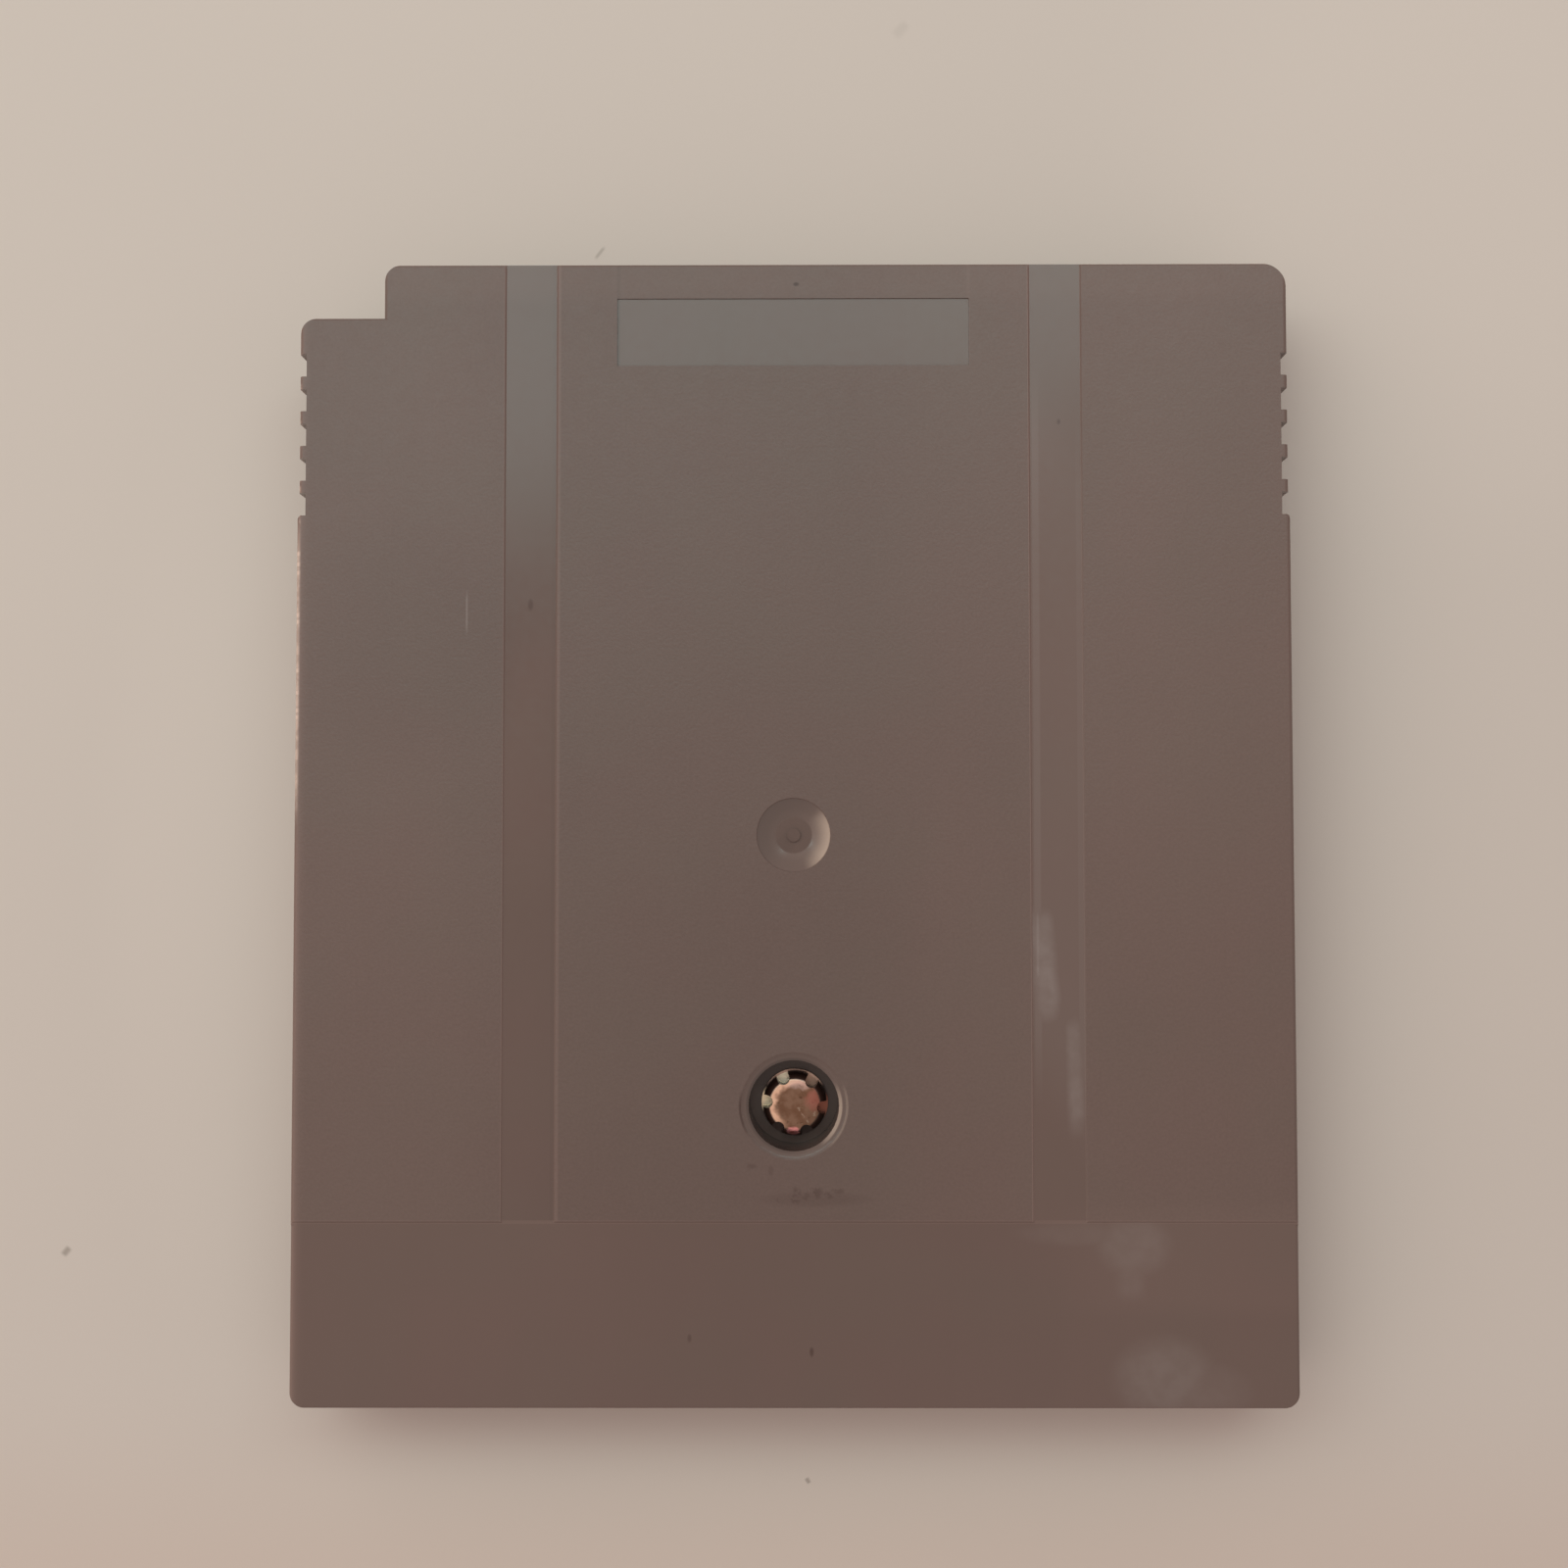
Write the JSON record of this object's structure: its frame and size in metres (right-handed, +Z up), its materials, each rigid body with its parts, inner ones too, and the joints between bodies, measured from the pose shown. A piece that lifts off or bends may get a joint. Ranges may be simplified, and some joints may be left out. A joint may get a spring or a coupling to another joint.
{
  "type": "handheld game cartridge",
  "caption": "Flat plastic game cartridge with a stepped back, side finger grips, a sunk security screw and a slot at its lower end that shows a gold-plated board edge.",
  "frame": {"origin": "middle of the footprint, on the surface that the label side lies on", "axes": "+X across the back, to the right with the back up and the slot toward the viewer; +Y from the slot end to the top end; +Z up out of the back"},
  "size_m": [0.0572, 0.0654, 0.0078],
  "materials": {
    "housing_plastic": "moulded warm grey plastic: fine matt grain on the raised panels, smooth in the channels, on the lower band and in the sunk frame",
    "screw_steel": "steel screw with a copper-brown passivated finish",
    "board_laminate": "green solder mask over glass laminate",
    "contact_gold": "thin gold plate over copper",
    "chip_epoxy": "black moulded epoxy",
    "tinned_metal": "tinned spring metal",
    "battery_steel": "nickel-plated steel can",
    "ceramic": "tan ceramic block with tinned ends",
    "resistor_film": "black film on ceramic with tinned ends"
  },
  "bodies": {
    "root": {"back_shell": "housing_plastic", "front_shell": "housing_plastic", "security_screw": "screw_steel", "circuit_board": "board_laminate", "edge_contacts": "contact_gold", "rom_chip": "chip_epoxy", "rom_chip_leads": "tinned_metal", "mapper_chip": "chip_epoxy", "mapper_chip_leads": "tinned_metal", "save_ram_chip": "chip_epoxy", "save_ram_chip_leads": "tinned_metal", "power_switch_chip": "chip_epoxy", "power_switch_chip_leads": "tinned_metal", "battery_cell": "battery_steel", "battery_plus_tab": "tinned_metal", "battery_minus_tab": "tinned_metal", "rom_capacitor": "ceramic", "ram_capacitor": "ceramic", "mapper_capacitor": "ceramic", "supply_capacitor": "ceramic", "pull_up_resistor": "resistor_film", "charge_resistor": "resistor_film", "reset_resistor": "resistor_film", "blocking_diode": "chip_epoxy"}
  },
  "joints": []
}
